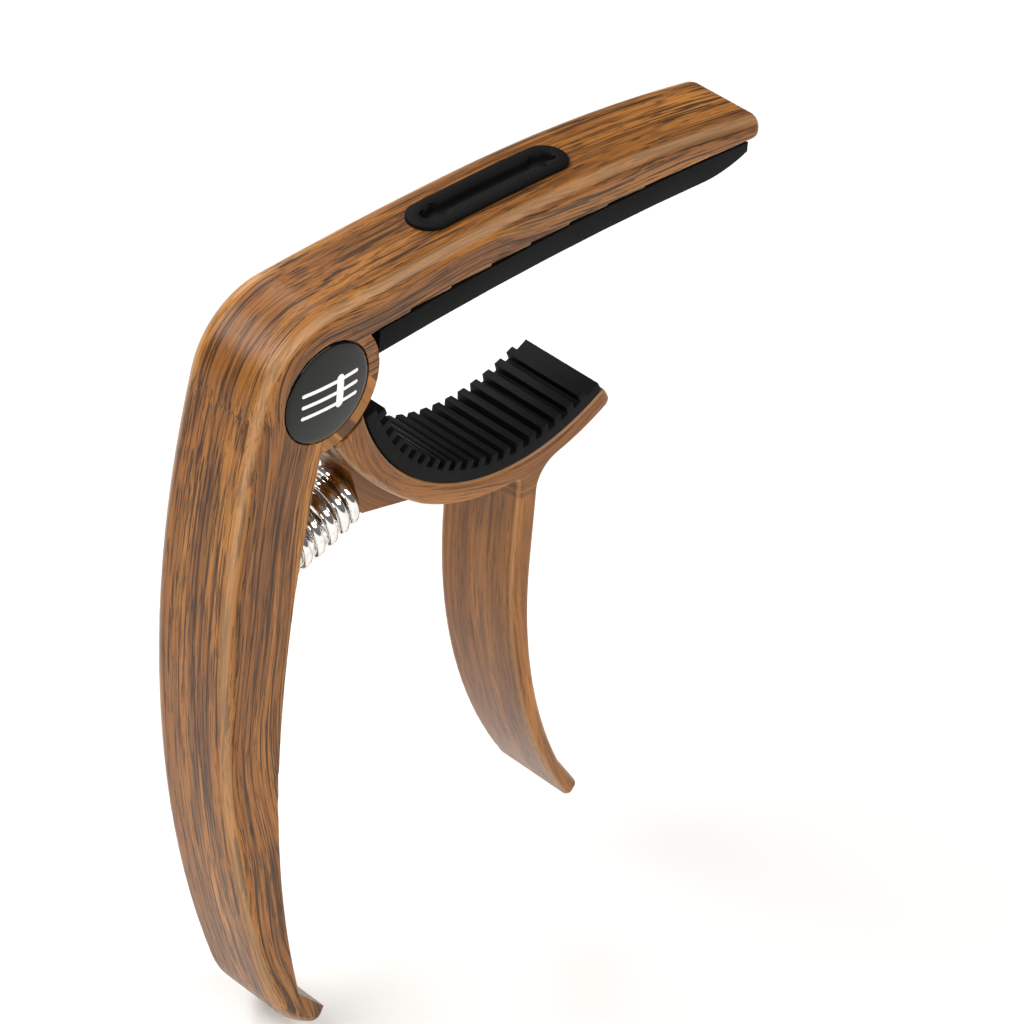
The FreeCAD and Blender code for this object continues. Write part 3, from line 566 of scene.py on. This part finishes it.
@dataclass
class Castings:
    """The two die castings, which keep their solids."""

    arm_film: WoodFilm
    jaw_film: WoodFilm

    def dress(self) -> None:
        """Gives each casting its printed film."""
        for node, film in (("upper_arm", self.arm_film), ("lower_jaw", self.jaw_film)):
            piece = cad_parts[node]
            piece.data.materials.clear()
            piece.data.materials.append(film.material())
            LOG.info("%s: %s", node, film.name)


@dataclass
class SiliconePads:
    """String pad under the bar and ribbed pad in the cradle."""

    silicone: bpy.types.Material
    edge: float = 0.35                # mm, rounding of the moulded edges
    rib_share: float = 0.7            # share of that rounding on the ribbed pad
    seat_z: float = 2.7               # mm, the string pad's edges above this lie in the bar and stay sharp

    def build(self) -> None:
        """Builds both pads with their moulded edges."""
        for node, body, edge, below in (("string_pad", "upper", self.edge, self.seat_z * MM),
                                        ("jaw_pad", "jaw", self.edge * self.rib_share, math.inf)):
            piece = rounded_copy(node, node.replace("_pad", "_pad_moulded"), edge, below)
            finish_piece(piece, self.silicone, body, [node])


@dataclass
class PickHolder:
    """Grommet that holds a pick: a rim on the bar's arch and a slit that narrows between two nicks."""

    silicone: bpy.types.Material
    length: float = 22.7              # mm
    width: float = 5.0
    rim: float = 0.55
    slit_length: float = 19.4
    slit_width: float = 1.3
    nick_place: float = 7.5           # mm from the middle to each nick
    nick_depth: float = 0.42
    depth: float = 4.0
    edge: float = 0.22
    nick_spread: float = 0.55         # mm, half the length of a nick
    arch_x: float = -8.0              # mm, top of the bar's arch and its radii to the tip and the heel
    arch_z: float = 7.9
    tip_radius: float = 207.0
    heel_radius: float = 462.0
    points: int = 240

    def _loop(self, length: float, width: float, height: float, nicks: float) -> list[Vector]:
        """Lays a ring with straight sides and round ends on the bar's arch.

        Args:
            length: the ring's length, in millimetres.
            width: its width, in millimetres.
            height: how far above the arch it lies, in millimetres.
            nicks: how far the nicks cut into its sides, in millimetres.

        Returns:
            The ring's points, in metres.
        """
        low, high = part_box("pick_holder")
        middle_x = (low.x + high.x) / 2 / MM
        ring = []
        half = (length - width) / 2
        straight, curve = 2 * half, math.pi * width / 2
        for index in range(self.points):
            way = index / self.points * 2 * (straight + curve)
            if way < straight:
                x, y = -half + way, -width / 2
            elif way < straight + curve:
                turn = (way - straight) / (width / 2) - math.pi / 2
                x, y = half + width / 2 * math.cos(turn), width / 2 * math.sin(turn)
            elif way < 2 * straight + curve:
                x, y = half - (way - straight - curve), width / 2
            else:
                turn = (way - 2 * straight - curve) / (width / 2) + math.pi / 2
                x, y = -half + width / 2 * math.cos(turn), width / 2 * math.sin(turn)
            near = math.exp(-((abs(x) - self.nick_place) / self.nick_spread) ** 2)
            y += math.copysign(nicks * near, y)
            away = x + middle_x - self.arch_x
            arch = self.arch_z - away ** 2 / (2 * (self.tip_radius if away > 0 else self.heel_radius))
            ring.append(Vector((x + middle_x, y, arch + height)) * MM)
        return ring

    def build(self) -> None:
        """Builds the rim, the slit's walls and its floor."""
        rows = [(0.0, -0.05), (0.0, self.rim - self.edge)]
        for step in range(1, 4):
            turn = math.radians(step * 30)
            rows.append((self.edge * (1 - math.cos(turn)), self.rim - self.edge + self.edge * math.sin(turn)))
        rings = [self._loop(self.length - 2 * inset, self.width - 2 * inset, height, 0.0)
                 for inset, height in rows]
        for outset, height in ((self.edge, self.rim), (self.edge * 0.3, self.rim - self.edge * 0.3),
                               (0.0, self.rim - self.edge), (0.0, -self.depth + self.rim)):
            rings.append(self._loop(self.slit_length + 2 * outset, self.slit_width + 2 * outset, height,
                                    self.nick_depth))
        piece = ring_mesh("pick_holder_grommet", rings)
        finish_piece(piece, self.silicone, "upper", ["pick_holder"])


@dataclass
class CoilSpring:
    """Compression spring with closed ends, between the front handle's pocket and the web."""

    plating: bpy.types.Material
    wire: float = 1.3                 # mm
    mean_radius: float = 3.05
    turns: float = 7.25
    length: float = 13.6
    tilt: float = 18.0                # degrees above +X
    seat_x: float = -27.3             # mm, middle of the seat on the web
    seat_z: float = -22.05
    bow: float = 0.5                  # mm, how far the middle of the spring sags off its axis
    even: float = 0.70                # share of the climb that is even; the rest closes the end coils
    sides: int = 20
    steps: int = 44                   # rings in each turn

    def build(self) -> None:
        """Sweeps the wire; the pitch is closed at both ends and open in the middle."""
        tilt = math.radians(self.tilt)
        axis = Vector((math.cos(tilt), 0, math.sin(tilt)))
        across, up = Vector((0, 1, 0)), Vector((-math.sin(tilt), 0, math.cos(tilt)))
        seat = Vector((self.seat_x, 0, self.seat_z))
        floor = seat - axis * self.length
        run = self.length - self.wire
        total = int(self.turns * self.steps)

        def centre(share: float) -> Vector:
            """Finds a point on the wire's centre line.

            Args:
                share: how far along the wire, from 0 at the handle to 1 at the web.

            Returns:
                The point, in millimetres.
            """
            smooth = share * share * (3 - 2 * share)
            climb = self.wire / 2 + run * (self.even * share + (1 - self.even) * smooth)
            turn = 2 * math.pi * self.turns * share
            sag = up * (-self.bow * math.sin(math.pi * share))
            outward = across * math.sin(turn) + up * math.cos(turn)
            return floor + axis * climb + sag + outward * self.mean_radius

        rings = []
        for index in range(total + 1):
            share = index / total
            turn = 2 * math.pi * self.turns * share
            outward = across * math.sin(turn) + up * math.cos(turn)
            ahead = (centre(min(share + 1e-4, 1.0)) - centre(max(share - 1e-4, 0.0))).normalized()
            beside = ahead.cross(outward).normalized()
            ring = []
            for side in range(self.sides):
                angle = 2 * math.pi * side / self.sides
                spot = centre(share) + (outward * math.cos(angle) + beside * math.sin(angle)) * self.wire / 2
                ring.append(spot * MM)
            rings.append(ring)
        piece = ring_mesh("coil_spring", rings)
        finish_piece(piece, self.plating, "", ["spring"])
        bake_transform(piece)


@dataclass
class Badge:
    """Round badge on the hinge boss: a black domed lens with a white mark, a bar across three strings."""

    lens: bpy.types.Material
    printing: bpy.types.Material
    radius: float = 5.8               # mm
    rim: float = 0.4
    height: float = 0.9
    mark_length: float = 7.9
    mark_height: float = 3.2
    stroke: float = 0.42
    bar: float = 1.0                  # width of the bar and how far along the strings it lies
    bar_place: float = 1.3
    strings: int = 3
    edge: float = 0.22                # mm, rounding of the lens's rim
    segments: int = 128
    string_proud: float = 0.035       # mm, how far each part of the mark stands off the dome
    bar_proud: float = 0.03
    sunk: float = 0.03                # mm, how far its back lies in the dome

    def __post_init__(self) -> None:
        """Finds the badge's middle and its back from the solids."""
        low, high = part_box("badge_dome")
        self.x, self.z = (low.x + high.x) / 2 / MM, (low.z + high.z) / 2 / MM
        self.back = high.y / MM

    def surface(self, x: float, z: float) -> float:
        """Finds the dome's face over a point.

        Args:
            x: the point's place from the badge's middle, in millimetres.
            z: its height from the middle, in millimetres.

        Returns:
            The face's Y, in millimetres.
        """
        rise = self.height - self.rim
        bow = (self.radius ** 2 + rise ** 2) / (2 * rise)
        return self.back - self.rim - (math.sqrt(bow ** 2 - x * x - z * z) - (bow - rise))

    def build(self) -> None:
        """Builds the lens and the mark that lies on it."""
        edge, segments = self.edge, self.segments
        profile = [(self.radius, 0.0), (self.radius, self.rim - edge)]
        for step in range(1, 4):
            turn = math.radians(step * 27)
            profile.append((self.radius - edge * (1 - math.cos(turn)),
                            self.rim - edge + edge * math.sin(turn)))
        for share in range(23, 0, -1):
            reach = (self.radius - edge) * share / 24
            profile.append((reach, self.back - self.surface(reach, 0)))
        rings = [[Vector((self.x + reach * math.cos(2 * math.pi * index / segments), self.back - height,
                          self.z + reach * math.sin(2 * math.pi * index / segments))) * MM
                  for index in range(segments)] for reach, height in profile]
        finish_piece(ring_mesh("badge_lens", rings), self.lens, "upper", ["badge_dome"])
        boxes = [(self.bar_place, 0.0, self.bar, self.mark_height + 2 * self.stroke)]
        pitch = (self.mark_height - self.stroke) / (self.strings - 1)
        for number in range(self.strings):
            boxes.append((0.0, pitch * (number - (self.strings - 1) / 2), self.mark_length, self.stroke))
        work = bmesh.new()
        for number, (x, z, width, height) in enumerate(boxes):
            self._stroke(work, x, z, width, height, self.string_proud if number else self.bar_proud)
        bmesh.ops.recalc_face_normals(work, faces=work.faces)
        mesh = bpy.data.meshes.new("badge_pictogram")
        work.to_mesh(mesh)
        work.free()
        piece = bpy.data.objects.new("badge_pictogram", mesh)
        bpy.context.collection.objects.link(piece)
        shade_smooth(piece)
        finish_piece(piece, self.printing, "upper", ["badge_mark"])

    def _stroke(self, work: bmesh.types.BMesh, x: float, z: float, width: float, height: float,
                proud: float) -> None:
        """Adds one stroke with round ends, curved to the dome.

        Args:
            work: the mark's mesh.
            x: the stroke's middle from the badge's middle, in millimetres.
            z: its height from there, in millimetres.
            width: its size along X, in millimetres.
            height: its size along Z, in millimetres.
            proud: how far it stands off the dome, in millimetres.
        """
        thin, long = min(width, height), max(width, height)
        straight = (long - thin) / 2
        stations = [-straight - thin / 2 * math.cos(math.radians(step * 15)) for step in range(6)]
        stations += [-straight + 2 * straight * step / 20 for step in range(21)]
        stations += [straight + thin / 2 * math.sin(math.radians(step * 15)) for step in range(1, 7)]
        rows = []
        for lift in (-self.sunk, proud):
            row = []
            for along in stations:
                over = max(abs(along) - straight, 0.0)
                half = max(math.sqrt(max(thin * thin / 4 - over * over, 0.0)), 0.02)
                for side in (-half, half):
                    px, pz = (x + along, z + side) if width > height else (x - side, z + along)
                    spot = Vector((self.x + px, self.surface(px, pz) - lift, self.z + pz)) * MM
                    row.append(work.verts.new(spot))
            rows.append(row)
        low, top = rows
        last = len(stations) - 1
        for index in range(last):
            a, b, c, d = 2 * index, 2 * index + 1, 2 * index + 3, 2 * index + 2
            work.faces.new((top[a], top[b], top[c], top[d]))
            work.faces.new((low[d], low[c], low[b], low[a]))
            work.faces.new((low[a], top[a], top[d], low[d]))
            work.faces.new((low[c], top[c], top[b], low[b]))
        work.faces.new((low[0], low[1], top[1], top[0]))
        work.faces.new((low[2 * last + 1], low[2 * last], top[2 * last], top[2 * last + 1]))


@dataclass
class HingeParts:
    """Pin, bush, washers and clip, which keep their solids, and the cap on the far side."""

    steel: bpy.types.Material
    nylon: bpy.types.Material
    black: bpy.types.Material
    cap_dish: float = 0.25            # mm, how far the cap's middle is dished
    cap_edge: float = 0.2             # mm, rounding of its rim
    cap_segments: int = 96
    dish_start: float = 0.84          # share of the radius where the dish starts
    dish_run: float = 0.09            # and over how much of it the dish reaches its depth

    def dress(self) -> None:
        """Gives the hardware its finishes."""
        for node, material in (("pivot_pin", self.steel), ("retaining_clip", self.steel),
                               ("pivot_bush", self.nylon), ("front_washer", self.nylon),
                               ("rear_washer", self.nylon), ("badge_disc", self.black)):
            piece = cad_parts[node]
            piece.data.materials.clear()
            piece.data.materials.append(material)
            LOG.info("%s: %s", node, material.name)

    def build_cap(self) -> None:
        """Builds the moulded cap over the clip, with a soft edge and a dished middle."""
        low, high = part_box("pivot_cap")
        x, z = (low.x + high.x) / 2, (low.z + high.z) / 2
        radius, thick, segments = (high.x - low.x) / 2, high.y - low.y, self.cap_segments
        edge = self.cap_edge * MM
        profile = [(radius, 0.0), (radius, thick - edge)]
        for step in range(1, 4):
            turn = math.radians(step * 30)
            profile.append((radius - edge * (1 - math.cos(turn)), thick - edge + edge * math.sin(turn)))
        for share in (self.dish_start, 0.78, 0.70, 0.6, 0.4, 0.2):
            sunk = self.cap_dish * MM * min((self.dish_start - share) / self.dish_run, 1.0)
            profile.append((radius * share, thick - sunk))
        rings = [[Vector((x + reach * math.cos(2 * math.pi * index / segments), low.y + height,
                          z + reach * math.sin(2 * math.pi * index / segments))) for index in range(segments)]
                 for reach, height in profile]
        finish_piece(ring_mesh("hinge_cap", rings), self.black, "upper", ["pivot_cap"])


@dataclass
class Studio:
    """Pale floor, soft lights and the camera."""

    floor_z: float = -0.0945          # m
    floor_colour: str = "#E6E5E3"
    floor_half: float = 6.0           # m, half the floor's width
    sky: float = 0.18                 # strength of the even sky
    lens: float = 156.97              # mm on a 36 mm sensor
    camera_place: tuple[float, float, float] = (-0.30388, -0.26438, 0.25978)
    camera_back: tuple[float, float, float] = (-0.60686, -0.52697, 0.59500)
    camera_right: tuple[float, float, float] = (0.69316, -0.71721, 0.07177)

    def build_floor(self) -> None:
        """Builds the floor with its plain pale finish."""
        half = self.floor_half
        corners = [Vector((x, y, self.floor_z))
                   for x, y in ((-half, -half), (half, -half), (half, half), (-half, half))]
        mesh = bpy.data.meshes.new("studio_floor")
        mesh.from_pydata(corners, [], [(0, 1, 2, 3)])
        floor = bpy.data.objects.new("studio_floor", mesh)
        bpy.context.collection.objects.link(floor)
        material, tree, shader = new_material("floor_painted", self.floor_colour)
        shader.inputs["Base Color"].default_value = linear(self.floor_colour)
        shader.inputs["Roughness"].default_value = 0.7
        mesh.materials.append(material)

    def light(self, name: str, place: tuple[float, float, float], size: tuple[float, float], watts: float,
              colour: str, target: tuple[float, float, float] = (-0.02, 0.0, -0.03)) -> None:
        """Adds one soft box aimed at the capo.

        Args:
            name: the light's name.
            place: where it stands, in metres.
            size: its width and height, in metres.
            watts: its power.
            colour: sRGB hex colour.
            target: the point it faces.
        """
        data = bpy.data.lights.new(name, "AREA")
        data.shape, data.size, data.size_y = "RECTANGLE", *size
        data.energy, data.color = watts, linear(colour)[:3]
        lamp = bpy.data.objects.new(name, data)
        lamp.location = place
        lamp.rotation_euler = (Vector(target) - Vector(place)).to_track_quat("-Z", "Y").to_euler()
        bpy.context.collection.objects.link(lamp)

    def build_lights(self) -> None:
        """Builds the soft boxes and the even sky."""
        self.light("key_box", (-0.72, 0.35, 0.80), (0.9, 0.7), 16.0, "#FFFFFF")
        self.light("front_box", (0.10, -0.90, 0.62), (1.3, 0.35), 11.0, "#FFFDF9")
        self.light("back_box", (0.25, 0.95, 0.7), (0.7, 0.5), 7.0, "#FFFFFF")
        world = bpy.data.worlds.new("studio_sky")
        bpy.context.scene.world = world
        bpy.context.scene.view_settings.view_transform = "Standard"
        world.use_nodes = True
        background = world.node_tree.nodes["Background"]
        background.inputs["Color"].default_value = linear("#FFFFFF")
        background.inputs["Strength"].default_value = self.sky

    def build_camera(self) -> None:
        """Builds the camera: it looks down across the hinge, along the neck."""
        data = bpy.data.cameras.new("studio_camera")
        data.sensor_width, data.lens = 36.0, self.lens
        data.clip_start, data.clip_end = 0.01, 50.0
        camera = bpy.data.objects.new("studio_camera", data)
        bpy.context.collection.objects.link(camera)
        back = Vector(self.camera_back).normalized()
        right = Vector(self.camera_right).normalized()
        up = back.cross(right).normalized()
        turn = Matrix((right, up, back)).transposed().to_4x4()
        camera.matrix_world = Matrix.Translation(Vector(self.camera_place)) @ turn
        bpy.context.scene.camera = camera


def main() -> None:
    """Builds the capo's pieces in order, then the studio."""
    logging.basicConfig(level=logging.INFO, format="%(name)s: %(message)s")
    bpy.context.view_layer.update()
    silicone = MouldedSilicone().material()
    # turned steel: bright ends with a broad, soft highlight
    steel = Metal("steel_turned", "#B9B7B3", "#8E8C88", 0.28, 0.25).material()
    # plated wire: a sharp bright line along each coil
    nickel = Metal("spring_wire_nickel_plated", "#EFEDEA", "#D9D6D2", 0.06, 0.5, 0.03).material()
    # natural nylon: an off-white rim with hardly any shine
    nylon = HardPlastic("nylon_moulded", "#C9C6BE", "#B9B5AC", 0.45).material()
    # polished mould: black with a small clear highlight
    gloss_black = HardPlastic("acrylic_moulded_gloss_black", "#0B0B0D", "#070708", 0.10, 0.6).material()
    # cast lens: the deepest black, smooth enough to mirror the lights
    resin = HardPlastic("resin_lens_cast_black", "#050506", "#030304", 0.05, 0.0, 6.0, 1.36).material()
    # white ink under a gloss: bright against the lens
    printing = HardPlastic("badge_print_white", "#F2F2F0", "#E2E2E0", 0.30, 0.6).material()
    # the jaw's film is a little darker, with broader and fainter streaks
    Castings(WoodFilm("wood_film_arm", GrainRun.ARM),
             WoodFilm("wood_film_jaw", GrainRun.JAW, light="#A86F32", middle="#86521E", shade="#673E17",
                      dark="#40220D", figure_depth=0.35, pore_depth=0.45, streak_width=0.6)).dress()
    SiliconePads(silicone).build()
    PickHolder(silicone).build()
    CoilSpring(nickel).build()
    Badge(resin, printing).build()
    hinge = HingeParts(steel, nylon, gloss_black)
    hinge.dress()
    hinge.build_cap()
    studio = Studio()
    studio.build_floor()
    studio.build_lights()
    studio.build_camera()


if __name__ == "__main__":
    main()
